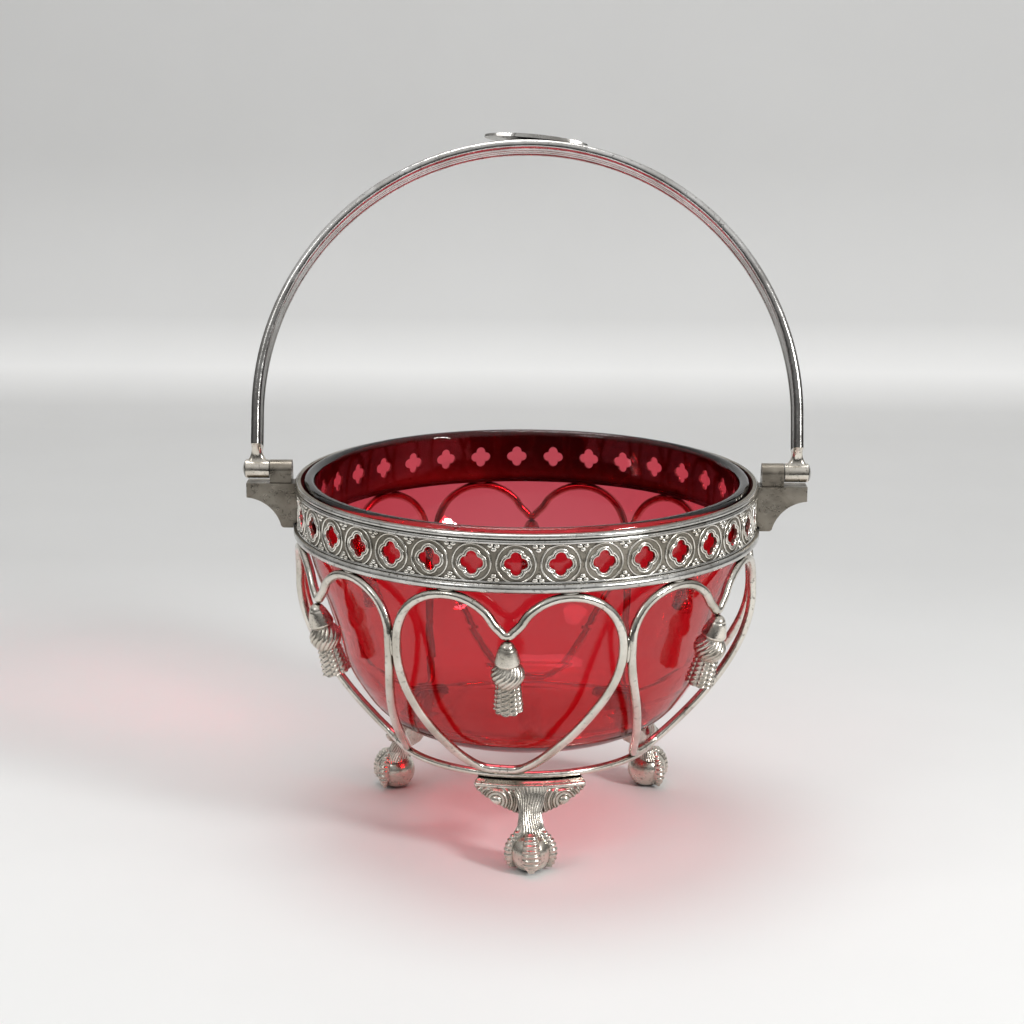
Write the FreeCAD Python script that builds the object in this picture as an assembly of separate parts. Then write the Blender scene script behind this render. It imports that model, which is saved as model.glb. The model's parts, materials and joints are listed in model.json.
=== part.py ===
import FreeCAD, Part
import math
import os

# Candy basket: a pierced gallery band on a cage of six wire hearts, three claw and ball feet,
# a swing handle on two hinges and a loose glass liner.
# Millimetres, Z up, floor at zero, origin on the basket's axis, front towards -Y.
# A shape is built at the front or at the right and is then turned into its place.

os.makedirs("parts", exist_ok=True)
Vec = FreeCAD.Vector
ORIGIN = Vec(0, 0, 0)
UP = Vec(0, 0, 1)
INWARD = Vec(0, 1, 0)
OUTWARD = Vec(0, -1, 0)
SIDEWAYS = Vec(1, 0, 0)
QUARTER = 90
STRAIGHT = 1e-6

# Counts, and turns about the axis in degrees
foot_count = 3
roundel_count = 35
foot_turn = 2.4
roundel_turn = -2.3

# The hearts are set by hand: the turn and the lean of each, and the least pitch between two
heart_turns = [-4.2, 53.3, 121.0, 178.5, 237.1, 298.3]
heart_leans = [-5.5, 6.0, 0.0, 0.0, 0.0, -4.0]
heart_pitch = 57.5
heart_lean_share = 0.7
heart_lean_power = 1.3

# Clearances
solder_gap = 0.05
liner_gap = 0.4
pin_gap = 0.05
knuckle_gap = 0.25
overrun = 5.0

# Gallery band, its two mouldings and the ledge inside it that carries the glass
band_radius = 59.6
band_wall = 0.8
band_height = 14.5
rim_moulding_height = 2.6
rim_reed_depth = 0.65
lower_bead_height = 2.4
piercing_lobe_radius = 1.35
piercing_lobe_offset = 1.5
piercing_middle_radius = 0.8
seat_height = 0.8

# Cage of hearts: bent wire between the base ring and the band
ring_radius = 34.4
ring_wire = 2.0
cage_height = 55.0
heart_wire = 2.3
heart_inset = 0.2
belly_share = 0.727
belly_power = 1.75
seat_angle = 54.0

# Half a heart, from the notch over the lobe and down to the tip: the first value is a share of
# the angle at which neighbouring hearts meet, the second a share of the height of the heart
heart_shares = [
    (0.0, 0.818), (0.080, 0.850), (0.203, 0.933), (0.362, 0.985), (0.545, 1.0), (0.724, 0.979),
    (0.880, 0.921), (0.982, 0.820), (1.0, 0.720), (0.985, 0.600), (0.945, 0.500), (0.870, 0.380),
    (0.780, 0.270), (0.680, 0.184), (0.560, 0.100), (0.420, 0.040), (0.310, 0.012), (0.240, 0.003),
    (0.170, 0.0), (0.100, 0.0), (0.012, 0.0),
]

# Tassel: round top, bell cap, turban knot and skirt, hung from the notch of each heart
tassel_tilt = 17.0
tassel_top_radius = 2.0
tassel_cap_length = 6.1
tassel_cap_radius = 3.15
tassel_neck_radius = 2.6
tassel_knot_length = 5.9
tassel_knot_radius = 4.1
tassel_skirt_length = 7.2
tassel_skirt_top_radius = 2.9
tassel_skirt_radius = 3.6

# Foot: ball, talons, ankle, a capital with two scrolls and the curved lip below the base ring
foot_height = 22.1
foot_reach = 6.0
ball_radius = 5.3
ball_flat_depth = 0.4
talon_radius = 1.7
talon_sink = 0.3
talon_spread = 84.0
toe_radius = 2.5
toe_sink = 1.4
talon_low_angle = -34.0
talon_high_angle = 50.0
claw_angle = 42.0
claw_overlap = 0.5
ankle_share = 0.6
ankle_width = 5.2
ankle_depth = 4.4
ankle_inset = 2.0
shoulder_width = 9.0
shoulder_depth = 3.2
lip_width = 30.0
lip_height = 2.3
lip_depth = 3.8
lip_inset = 1.0
capital_width = 29.0
capital_height = 8.8
capital_depth = 3.2
capital_stand = 0.3
scroll_radius = 2.7
scroll_spacing = 17.4
scroll_drop = 5.1
scroll_line = 0.5
scroll_line_depth = 0.5
scroll_eye_radius = 0.8
scroll_eye_rise = 0.5

# Half the outline of the capital, from the lip down to the ankle: shares of its half width and
# of its height
capital_shares = [(1.0, 0.1), (1.0, 0.25), (0.84, 0.46), (0.545, 0.73), (0.283, 0.91), (0.19, 1.0)]

# Glass liner
liner_band_gap = 0.8
liner_rim_rise = 0.9
liner_wall = 3.0
liner_floor = 3.8
liner_foot_gap = 2.5
liner_foot_inset = 15.55
liner_knee_inset = 4.82
liner_bowl_inset = 4.8
liner_shoulder_inset = 7.3
liner_collar_inset = 0.6

# The heights of foot, knee, bowl and shoulder, as shares of the liner's height
liner_height_shares = [0.0, 0.055, 0.23, 0.4614]

# Hinges: a bracket on the band with a fixed knuckle, a pin and the handle's knuckle
hinge_rise = 1.8
hinge_barrel = 4.9
hinge_stand = 1.6
bracket_knuckle_length = 5.8
handle_knuckle_length = 6.2
pin_radius = 0.8
pin_head_radius = 2.2
pin_head_height = 0.65
pin_inset = 1.2
bracket_depth = 5.6
bracket_ledge_inset = 0.2
bracket_ledge_gap = 0.85
bracket_ledge_height = 3.8
bracket_foot_rise = 1.2
bracket_foot_depth = 4.6
bracket_waist_depth = 7.3
bracket_waist_rise = 5.3
bracket_corner = 1.0

# Swing handle: a reeded strap between two rounded edges, widest at the top
handle_lean = 18.0
handle_inset = 1.5
handle_leg = 15.0
handle_neck = 6.2
neck_root_share = 0.3
neck_depth_share = 0.78
neck_corner_share = 0.9
neck_waist_rise = 3.4
neck_waist_depth = 4.1
neck_waist_share = 0.75
handle_edge = 2.6
handle_web = 1.5
handle_width_low = 9.2
handle_width_top = 10.6
handle_reed_share = 0.5
handle_reed_rise = 0.35
handle_arch_steps = 8
plate_length = 27.4
plate_width = 9.5
plate_thickness = 0.6
plate_dome = 0.5
plate_shift = 5.0
plate_turn = 5.4

# Heights that follow from the sizes above
ring_z = foot_height + solder_gap + ring_wire / 2
band_bottom = ring_z + cage_height
band_top = band_bottom + band_height
belly_z = ring_z + cage_height * belly_share
hinge_z = band_top + hinge_rise
liner_bottom = ring_z + ring_wire / 2 + liner_foot_gap
liner_top = band_top + liner_rim_rise - liner_wall / 2
ledge_top = hinge_z - hinge_barrel / 2 - bracket_ledge_gap

# Radii that follow: the cage and the liner hang together with the band, the hinges stand off it
belly_radius = band_radius - heart_inset
liner_rim_radius = band_radius - band_wall - liner_band_gap
liner_collar_radius = liner_rim_radius - liner_collar_inset
seat_radius = liner_collar_radius + liner_gap
foot_radius = ring_radius + foot_reach
lip_radius = ring_radius - lip_inset + lip_depth
hinge_inner = band_radius + hinge_stand
hinge_split = hinge_inner + bracket_knuckle_length
hinge_reach = hinge_split + handle_knuckle_length
handle_radius = hinge_reach - handle_inset

# The tips of the hearts lie on the shoulder of the base ring, their lobes hang under the band
seat_distance = (ring_wire + heart_wire) / 2 + solder_gap
tip_radius = ring_radius + seat_distance * math.cos(math.radians(seat_angle))
tip_z = ring_z + seat_distance * math.sin(math.radians(seat_angle))
lobe_z = band_bottom - solder_gap - heart_wire / 2
half_meeting = math.degrees(math.asin((heart_wire + solder_gap) / 2 / belly_radius))
meet_angle = heart_pitch / 2 - half_meeting


def save(name, shape):
    """Write one node and print what it holds."""
    shape.exportStep("parts/" + name + ".step")
    print(name, "solids", len(shape.Solids), "volume", round(shape.Volume, 1), "valid", shape.isValid())


def turned(shape, angle):
    """A copy of a shape, turned about the basket's axis."""
    copy = shape.copy()
    copy.rotate(ORIGIN, UP, angle)
    return copy


def mirrored(shape):
    """A copy of a shape of the right side, for the left side."""
    return shape.mirror(ORIGIN, SIDEWAYS)


def leaned(shape):
    """A piece of the handle, modelled upright, leaned back about the hinge axis."""
    copy = shape.copy()
    copy.rotate(Vec(0, 0, hinge_z), SIDEWAYS, -handle_lean)
    return copy


def fused(shapes):
    """One solid out of several that overlap."""
    return shapes[0].multiFuse(shapes[1:]).removeSplitter()


def outline(pieces):
    """A flat face: two points of a piece are a line, three are an arc."""
    edges = []
    for piece in pieces:
        curve = Part.LineSegment(*piece) if len(piece) == 2 else Part.Arc(*piece)
        edges.append(curve.toShape())
    return Part.Face(Part.Wire(edges))


def ring_prism(outer, inner, bottom, top):
    """A plain ring about the axis."""
    body = Part.makeCylinder(outer, top - bottom, Vec(0, 0, bottom))
    bore = Part.makeCylinder(inner, top - bottom + 2 * overrun, Vec(0, 0, bottom - overrun))
    return body.cut(bore)


def smooth_tangents(points, first, last):
    """The direction of a smooth curve at each of its points."""
    tangents = [first]
    for before, here, after in zip(points, points[1:], points[2:]):
        step_in = here - before
        step_out = after - here
        ratio = step_out.Length / step_in.Length
        tangents.append((step_in * ratio + step_out * (1 / ratio)).normalize())
    tangents.append(last)
    return tangents


def arc_between(start, tangent, end):
    """The arc, or the line, that leaves start along tangent and reaches end."""
    chord = end - start
    along = (end - start).normalize()
    side = tangent - along * tangent.dot(along)
    if side.Length < STRAIGHT:
        return Part.LineSegment(start, end).toShape()
    rise = chord.Length / 2 * math.tan(tangent.getAngle(along) / 2)
    return Part.Arc(start, (start + end) * 0.5 + side.normalize() * rise, end).toShape()


def smooth_path(points, first, last):
    """A chain of tangent arcs through points, two arcs from each point to the next."""
    tangents = smooth_tangents(points, first, last)
    edges = []
    for start, leave, end, arrive in zip(points, tangents, points[1:], tangents[1:]):
        chord = end - start
        both = chord.dot(leave + arrive)
        bend = 2 * (1 - leave.dot(arrive))
        if bend < STRAIGHT:
            reach = chord.dot(chord) / (2 * both)
        else:
            reach = (math.sqrt(both * both + bend * chord.dot(chord)) - both) / bend
        middle = (start + end + (leave - arrive) * reach) * 0.5
        middle_tangent = (middle - start - leave * reach).normalize()
        edges.append(arc_between(start, leave, middle))
        edges.append(arc_between(middle, middle_tangent, end))
    return Part.Wire(edges)


def cage_radius(z):
    """Radius of the cage's surface at a height: a belly that draws in to the base ring."""
    share = max(belly_z - z, 0) / (belly_z - tip_z)
    return belly_radius - (belly_radius - tip_radius) * share ** belly_power


def on_cage(angle, height_share):
    """The point of the cage's surface at an angle from the front and a share of its height."""
    z = tip_z + (lobe_z - tip_z) * height_share
    radius = cage_radius(z)
    turn = math.radians(angle)
    return Vec(radius * math.sin(turn), -radius * math.cos(turn), z)


def make_gallery_band():
    """The strip of the band, the ledge inside it and a four-lobed hole through each roundel."""
    strip = ring_prism(band_radius, band_radius - band_wall, band_bottom, band_top)
    ledge = ring_prism(band_radius - band_wall / 2, seat_radius, band_bottom, band_bottom + seat_height)
    middle = Vec(0, -band_radius - overrun, band_bottom + band_height / 2)
    lobes = [Part.makeCylinder(piercing_middle_radius, band_wall + 2 * overrun, middle, INWARD)]
    for turn in (0, 90, 180, 270):
        outward = Vec(math.cos(math.radians(turn)), 0, math.sin(math.radians(turn)))
        start = middle + outward * piercing_lobe_offset
        lobes.append(Part.makeCylinder(piercing_lobe_radius, band_wall + 2 * overrun, start, INWARD))
    piercing = fused(lobes)
    step = 360 / roundel_count
    holes = [turned(piercing, roundel_turn + step * index) for index in range(roundel_count)]
    return fused([strip, ledge]).cut(Part.makeCompound(holes))


def half_round(inner, bottom, top, depth):
    """A half-round moulding about the axis."""
    low = Vec(inner, 0, bottom)
    high = Vec(inner, 0, top)
    bulge = Vec(inner + depth, 0, (bottom + top) / 2)
    return outline([(low, bulge, high), (high, low)]).revolve(ORIGIN, UP, 360)


def make_rim_moulding():
    """The upper moulding: two reeds, drawn as one wire round the outside of the band."""
    inner = band_radius + solder_gap
    outer = inner + rim_reed_depth
    low = band_top - rim_moulding_height
    waist = Vec(inner + rim_reed_depth / 2, 0, (low + band_top) / 2)
    lower_end = Vec(inner, 0, low)
    upper_end = Vec(inner, 0, band_top)
    face = outline([
        (lower_end, Vec(outer, 0, (low + waist.z) / 2), waist),
        (waist, Vec(outer, 0, (band_top + waist.z) / 2), upper_end),
        (upper_end, lower_end),
    ])
    return face.revolve(ORIGIN, UP, 360)


def make_lower_bead():
    """The half-round bead round the outside of the band's lower edge."""
    top = band_bottom + lower_bead_height
    return half_round(band_radius + solder_gap, band_bottom, top, lower_bead_height / 2)


def on_heart(side, share, height, lean):
    """A point of a heart at the front, on its right or left half, its lower part swayed by the lean."""
    sway = lean * max(1 - height / heart_lean_share, 0) ** heart_lean_power
    return on_cage(side * meet_angle * share + sway, height)


def make_heart_wire(lean):
    """One heart of bent wire at the front, its two ends brought together at the tip."""
    right = [on_heart(1, share, height, lean) for share, height in heart_shares]
    left = [on_heart(-1, share, height, lean) for share, height in heart_shares[1:]]
    points = left[::-1] + right
    # Both ends run level, along the base ring
    first, last = (Vec(end.y, -end.x, 0).normalize() for end in (points[0], points[-1]))
    path = smooth_path(points, first, last)
    profile = Part.Wire([Part.Circle(points[0], first, heart_wire / 2).toShape()])
    return path.makePipeShell([profile], True, False)


def make_tassel():
    """One tassel, turned about its own axis and hung below the notch at the front."""
    cap_end = tassel_cap_length - tassel_top_radius
    knot_end = cap_end + tassel_knot_length
    skirt_end = knot_end + tassel_skirt_length
    crown = Vec(0, 0, tassel_top_radius)
    bend = math.sin(math.radians(QUARTER / 2)) * tassel_top_radius
    shoulder = Vec(tassel_top_radius, 0, 0)
    neck = Vec(tassel_neck_radius, 0, -cap_end)
    collar = Vec(tassel_skirt_top_radius, 0, -knot_end)
    hem = Vec(tassel_skirt_radius, 0, -skirt_end)
    foot = Vec(0, 0, -skirt_end)
    face = outline([
        (crown, Vec(bend, 0, bend), shoulder),
        (shoulder, Vec(tassel_cap_radius, 0, -cap_end / 2), neck),
        (neck, Vec(tassel_knot_radius, 0, -(cap_end + knot_end) / 2), collar),
        (collar, hem),
        (hem, foot),
        (foot, crown),
    ])
    body = face.revolve(ORIGIN, UP, 360)
    body.rotate(ORIGIN, SIDEWAYS, tassel_tilt)
    body.translate(on_cage(0, heart_shares[0][1]) - UP * (heart_wire / 2 + solder_gap + tassel_top_radius))
    return body


def make_base_ring():
    """The closed ring of wire on the feet."""
    return Part.makeTorus(ring_radius, ring_wire / 2, Vec(0, 0, ring_z))


def make_lip():
    """The curved lip of a foot, which follows the base ring from below."""
    inner = ring_radius - lip_inset
    half = math.degrees(math.asin(lip_width / 2 / lip_radius))
    bottom = foot_height - lip_height
    face = outline([
        (Vec(inner, 0, bottom), Vec(lip_radius, 0, bottom)),
        (Vec(lip_radius, 0, bottom), Vec(lip_radius, 0, foot_height)),
        (Vec(lip_radius, 0, foot_height), Vec(inner, 0, foot_height)),
        (Vec(inner, 0, foot_height), Vec(inner, 0, bottom)),
    ])
    return turned(face.revolve(ORIGIN, UP, 2 * half), -QUARTER - half)


def make_capital():
    """The capital under the lip: a curved plate with a scroll of sunk lines and an eye at each end."""
    front = lip_radius + capital_stand
    right = []
    for width_share, height_share in capital_shares:
        z = foot_height - capital_height * height_share
        right.append(Vec(capital_width / 2 * width_share, -front - overrun, z))
    corners = right + [Vec(-point.x, point.y, point.z) for point in right[::-1]]
    face = outline(list(zip(corners, corners[1:] + corners[:1])))
    plate = face.extrude(INWARD * front).common(ring_prism(front, front - capital_depth, 0, foot_height))
    skin = ring_prism(front + overrun, front - scroll_line_depth, 0, foot_height)
    back = Vec(0, capital_depth / 2 - front, foot_height - scroll_drop)
    eye_length = capital_depth / 2 + scroll_eye_rise
    eye = Part.makeCylinder(scroll_eye_radius, eye_length, back, OUTWARD)
    eyes = []
    for side in (-1, 1):
        turn = side * math.degrees(math.asin(scroll_spacing / 2 / front))
        eyes.append(turned(eye, turn))
        for radius in (scroll_radius, scroll_radius - 2 * scroll_line):
            line = Part.makeCylinder(radius, capital_depth + overrun, back, OUTWARD)
            core = Part.makeCylinder(radius - scroll_line, capital_depth + overrun, back, OUTWARD)
            plate = plate.cut(turned(line.cut(core).common(skin), turn))
    return fused([plate] + eyes)


def level_oval(width, depth, y, z):
    """A level oval, as a wire for a loft."""
    spread = FreeCAD.Matrix()
    spread.scale(width / 2, depth / 2, 1)
    oval = Part.Circle(ORIGIN, UP, 1).toShape().transformGeometry(spread)
    oval.translate(Vec(0, y, z))
    return Part.Wire([oval])


def make_ankle():
    """The leg from the lip down to the claw on the ball, drawn in at the ankle."""
    turn = math.radians(claw_angle)
    claw_width = 2 * (ball_radius * math.cos(turn) + claw_overlap)
    claw_z = ball_radius - ball_flat_depth + ball_radius * math.sin(turn)
    sections = [
        level_oval(shoulder_width, shoulder_depth, lip_depth / 2 - lip_radius, foot_height - lip_height / 2),
        level_oval(ankle_width, ankle_depth, ankle_inset - foot_radius, foot_height * ankle_share),
        level_oval(claw_width, claw_width, -foot_radius, claw_z),
    ]
    return Part.makeLoft(sections, True, False)


def make_talon(turn, radius, sink):
    """One talon, bent over the ball from its crown to near the floor, with a round tip."""
    start = Vec(ball_radius - sink, 0, 0)
    face = Part.Face(Part.Wire([Part.Circle(start, UP, radius).toShape()]))
    tip = Part.makeSphere(radius, start)
    for piece in (face, tip):
        piece.rotate(ORIGIN, OUTWARD, talon_low_angle)
    talon = fused([face.revolve(ORIGIN, OUTWARD, talon_high_angle - talon_low_angle), tip])
    return turned(talon, turn - QUARTER)


def make_ball():
    """The ball of a foot about its own centre, worn flat where it stands."""
    crown = Vec(0, 0, ball_radius)
    floor = ball_flat_depth - ball_radius
    edge = Vec(math.sqrt(ball_radius ** 2 - floor ** 2), 0, floor)
    middle = Vec(0, 0, floor)
    side = Vec(ball_radius, 0, 0)
    return outline([(crown, side, edge), (edge, middle), (middle, crown)]).revolve(ORIGIN, UP, 360)


def make_foot():
    """One claw and ball foot at the front, a single casting."""
    claw = [make_ball(), make_talon(0, toe_radius, toe_sink)]
    claw += [make_talon(turn, talon_radius, talon_sink) for turn in (-talon_spread, talon_spread)]
    for shape in claw:
        shape.translate(Vec(0, -foot_radius, ball_radius - ball_flat_depth))
    return fused(claw + [make_ankle(), make_lip(), make_capital()])


def liner_outside():
    """The points of the liner's outer outline, from its foot to its rim."""
    heights = [liner_bottom + (liner_top - liner_bottom) * share for share in liner_height_shares]
    insets = [liner_foot_inset, liner_knee_inset, liner_bowl_inset, liner_shoulder_inset]
    points = [Vec(cage_radius(z) - inset, 0, z) for z, inset in zip(heights, insets)]
    points.append(Vec(liner_collar_radius, 0, band_bottom + seat_height / 2))
    points.append(Vec(liner_rim_radius, 0, liner_top))
    return points


def make_glass_liner():
    """The glass bowl, open at the top, with a rounded lip."""
    outer = liner_outside()
    tangents = smooth_tangents(outer, SIDEWAYS, UP)
    inner = []
    for point, tangent in zip(outer, tangents):
        inner.append(point + Vec(-tangent.z, 0, tangent.x) * liner_wall)
    inner[0].z = liner_bottom + liner_floor
    lip = Part.Arc(outer[-1], (outer[-1] + inner[-1]) * 0.5 + UP * (liner_wall / 2), inner[-1])
    floor_middle = Vec(0, 0, inner[0].z)
    foot_middle = Vec(0, 0, outer[0].z)
    edges = smooth_path(outer, SIDEWAYS, UP).Edges + [lip.toShape()]
    edges += smooth_path(inner, SIDEWAYS, UP).Edges
    for start, end in ((inner[0], floor_middle), (floor_middle, foot_middle), (foot_middle, outer[0])):
        edges.append(Part.LineSegment(start, end).toShape())
    face = Part.Face(Part.Wire(Part.sortEdges(edges)[0]))
    return face.revolve(ORIGIN, UP, 360)


def hinge_cylinder(radius, start_x, end_x):
    """A round bar along the hinge axis, at the right."""
    return Part.makeCylinder(radius, end_x - start_x, Vec(start_x, 0, hinge_z), SIDEWAYS)


def across(face, depth):
    """A plate seen from the front, as deep to the back as to the front."""
    plate = face.extrude(INWARD * depth)
    plate.translate(INWARD * (-depth / 2))
    return plate


def hinge_bore():
    """The room for the pin through both knuckles."""
    return hinge_cylinder(pin_radius + pin_gap, hinge_inner - overrun, hinge_reach + overrun)


def make_hinge_bracket():
    """The right bracket: a foot on the band, a ledge and the fixed knuckle on top."""
    root = band_radius - band_wall
    foot_z = band_bottom + bracket_foot_rise
    knuckle_end = hinge_split - knuckle_gap / 2
    foot_in = Vec(root, 0, foot_z)
    corner = Vec(band_radius + bracket_foot_depth, 0, foot_z + bracket_corner)
    foot_out = Vec(corner.x - bracket_corner, 0, foot_z)
    bulge = math.sin(math.radians(QUARTER / 2)) * bracket_corner
    corner_middle = Vec(foot_out.x + bulge, 0, corner.z - bulge)
    waist = Vec(band_radius + bracket_waist_depth, 0, foot_z + bracket_waist_rise)
    ledge_low = Vec(hinge_reach - bracket_ledge_inset, 0, ledge_top - bracket_ledge_height)
    ledge_high = Vec(ledge_low.x, 0, ledge_top)
    top_in = Vec(root, 0, ledge_top)
    face = outline([
        (foot_in, foot_out), (foot_out, corner_middle, corner), (corner, waist, ledge_low),
        (ledge_low, ledge_high), (ledge_high, top_in), (top_in, foot_in),
    ])
    riser_low = ledge_top - bracket_ledge_height
    riser_corners = [
        Vec(hinge_inner, 0, riser_low), Vec(knuckle_end, 0, riser_low),
        Vec(knuckle_end, 0, hinge_z), Vec(hinge_inner, 0, hinge_z),
    ]
    riser = outline(list(zip(riser_corners, riser_corners[1:] + riser_corners[:1])))
    knuckle = hinge_cylinder(hinge_barrel / 2, hinge_inner, knuckle_end)
    body = fused([across(face, bracket_depth), across(riser, hinge_barrel), knuckle])
    # The back follows the band, its bead and its rim moulding
    body = body.cut(Part.makeCylinder(band_radius + solder_gap, band_top + overrun))
    bead_top = band_bottom + lower_bead_height + solder_gap
    body = body.cut(Part.makeCylinder(band_radius + lower_bead_height / 2 + 2 * solder_gap, bead_top))
    rim_low = band_top - rim_moulding_height - solder_gap
    rim_room = band_radius + rim_reed_depth + 2 * solder_gap
    body = body.cut(Part.makeCylinder(rim_room, rim_moulding_height + overrun, Vec(0, 0, rim_low)))
    return body.cut(hinge_bore())


def make_hinge_pin():
    """The right pin, fixed in the bracket, with a low domed head outside the handle's knuckle."""
    head_x = hinge_reach + knuckle_gap
    centre = Vec(head_x, 0, hinge_z)
    rim = centre + UP * pin_head_radius
    crown = centre + SIDEWAYS * pin_head_height
    sphere = (pin_head_radius ** 2 + pin_head_height ** 2) / (2 * pin_head_height)
    half = math.asin(pin_head_radius / sphere) / 2
    bend_centre = crown - SIDEWAYS * sphere
    between = bend_centre + Vec(math.cos(half), 0, math.sin(half)) * sphere
    head = outline([(centre, rim), (rim, between, crown), (crown, centre)])
    head = head.revolve(centre, SIDEWAYS, 360)
    return fused([hinge_cylinder(pin_radius, hinge_inner + pin_inset, head_x), head])


def level_oblong(low_x, high_x, depth, z):
    """A level oblong with round corners, as a wire for a loft."""
    corner = handle_edge / 2 * neck_corner_share
    bulge = corner * math.sin(math.radians(QUARTER / 2))
    centre = Vec((low_x + high_x) / 2, 0, z)
    pieces = []
    last = None
    # Each corner in turn: where its arc starts, its middle and its end
    for x, y in ((1, -1), (1, 1), (-1, 1), (-1, -1)):
        pin = centre + SIDEWAYS * x * ((high_x - low_x) / 2 - corner) + INWARD * y * (depth / 2 - corner)
        ends = [pin + INWARD * y * corner, pin + SIDEWAYS * x * corner]
        if x * y > 0:
            ends.reverse()
        if last:
            pieces.append((last, ends[0]))
        pieces.append((ends[0], pin + SIDEWAYS * x * bulge + INWARD * y * bulge, ends[1]))
        last = ends[1]
    pieces.append((last, pieces[0][0]))
    return outline(pieces).OuterWire


def make_handle_knuckle():
    """The handle's right knuckle: a barrel with a neck that widens to the strap."""
    near = hinge_split + knuckle_gap / 2
    leg_in = handle_radius - handle_edge
    waist_in = near + (leg_in - near) * neck_waist_share
    waist_out = hinge_reach + (handle_radius - hinge_reach) * neck_waist_share
    root_z = hinge_z + hinge_barrel * neck_root_share
    neck = Part.makeLoft([
        level_oblong(near, hinge_reach, hinge_barrel * neck_depth_share, root_z),
        level_oblong(waist_in, waist_out, neck_waist_depth, hinge_z + neck_waist_rise),
        level_oblong(leg_in, handle_radius, handle_width_low, hinge_z + handle_neck),
    ], True, False)
    barrel = hinge_cylinder(hinge_barrel / 2, near, hinge_reach)
    return leaned(fused([barrel, neck]).cut(hinge_bore()))


def strap_section(middle, normal, width):
    """The closed outline of the strap, square to its run: two round edges, a web and two reeds."""
    edge = handle_edge / 2
    web = handle_web / 2
    centre = width / 2 - edge
    inner = centre - math.sqrt(edge ** 2 - web ** 2)
    reed = inner * handle_reed_share
    turn = math.atan2(web, inner - centre)

    def at(depth, y):
        return middle + normal * depth + INWARD * y

    def quarter(side, sign):
        """Half of a round edge, from the web to its outermost line."""
        between = turn / 2
        return at(sign * edge * math.sin(between), side * (centre + edge * math.cos(between)))

    pieces = [
        (at(web, -inner), at(web, -reed)),
        (at(web, -reed), at(web + handle_reed_rise, 0), at(web, reed)),
        (at(web, reed), at(web, inner)),
        (at(web, inner), quarter(1, 1), at(0, width / 2)),
        (at(0, width / 2), quarter(1, -1), at(-web, inner)),
        (at(-web, inner), at(-web, reed)),
        (at(-web, reed), at(-web - handle_reed_rise, 0), at(-web, -reed)),
        (at(-web, -reed), at(-web, -inner)),
        (at(-web, -inner), quarter(-1, -1), at(0, -width / 2)),
        (at(0, -width / 2), quarter(-1, 1), at(web, -inner)),
    ]
    return outline(pieces).OuterWire


def make_handle_bow():
    """The strap of the handle: two short legs and an arch."""
    middle_radius = handle_radius - handle_edge / 2
    arch_z = hinge_z + handle_leg
    low_z = hinge_z + handle_neck + solder_gap
    sections = [strap_section(Vec(middle_radius, 0, low_z), SIDEWAYS, handle_width_low)]
    for index in range(handle_arch_steps + 1):
        turn = math.pi * index / handle_arch_steps
        normal = Vec(math.cos(turn), 0, math.sin(turn))
        width = handle_width_low + (handle_width_top - handle_width_low) * math.sin(turn)
        sections.append(strap_section(Vec(0, 0, arch_z) + normal * middle_radius, normal, width))
    sections.append(strap_section(Vec(-middle_radius, 0, low_z), SIDEWAYS * -1, handle_width_low))
    return leaned(Part.makeLoft(sections, True, False))


def make_handle_plate():
    """The oval thumb plate on the arch of the handle, slightly domed and set a little askew."""
    base = hinge_z + handle_leg + handle_radius + solder_gap
    oval = Part.Ellipse(Vec(0, 0, base), plate_length / 2, plate_width / 2).toShape()
    blank = Part.Face(Part.Wire([oval])).extrude(UP * (plate_thickness + plate_dome))
    sphere = ((plate_length / 2) ** 2 + plate_dome ** 2) / (2 * plate_dome)
    crown = base + plate_thickness + plate_dome
    plate = blank.common(Part.makeSphere(sphere, Vec(0, 0, crown - sphere)))
    plate.translate(SIDEWAYS * -plate_shift)
    plate.rotate(Vec(0, 0, hinge_z + handle_leg), INWARD, plate_turn)
    return leaned(plate)


save("gallery_band", make_gallery_band())
save("rim_moulding", make_rim_moulding())
save("lower_bead", make_lower_bead())
save("base_ring", make_base_ring())
save("glass_liner", make_glass_liner())

tassel = make_tassel()
for index, (turn, lean) in enumerate(zip(heart_turns, heart_leans)):
    save("heart_wire_" + str(index + 1), turned(make_heart_wire(lean), turn))
    save("tassel_" + str(index + 1), turned(tassel, turn))

foot = make_foot()
for index in range(foot_count):
    save("foot_" + str(index + 1), turned(foot, foot_turn + 360 / foot_count * index))

for name, piece in (
    ("hinge_bracket", make_hinge_bracket()),
    ("hinge_pin", make_hinge_pin()),
    ("handle_knuckle", make_handle_knuckle()),
):
    save(name + "_right", piece)
    save(name + "_left", mirrored(piece))

save("handle_bow", make_handle_bow())
save("handle_plate", make_handle_plate())
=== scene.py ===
import json
import math

import bpy
import numpy as np
from mathutils import Matrix, Vector


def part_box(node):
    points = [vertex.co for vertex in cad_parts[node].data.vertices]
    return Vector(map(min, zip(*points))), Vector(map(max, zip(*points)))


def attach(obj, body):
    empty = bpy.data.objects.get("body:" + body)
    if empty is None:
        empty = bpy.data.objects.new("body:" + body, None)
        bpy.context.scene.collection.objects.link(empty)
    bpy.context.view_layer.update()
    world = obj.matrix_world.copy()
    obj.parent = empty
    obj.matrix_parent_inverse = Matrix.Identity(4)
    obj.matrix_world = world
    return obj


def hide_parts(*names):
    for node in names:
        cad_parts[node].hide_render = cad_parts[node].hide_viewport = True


# The looks of the candy basket: silver plate, cast silver and ruby glass, on a pale floor.
# Metres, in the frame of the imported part. A place is taken from the frame where it gives it.

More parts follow.
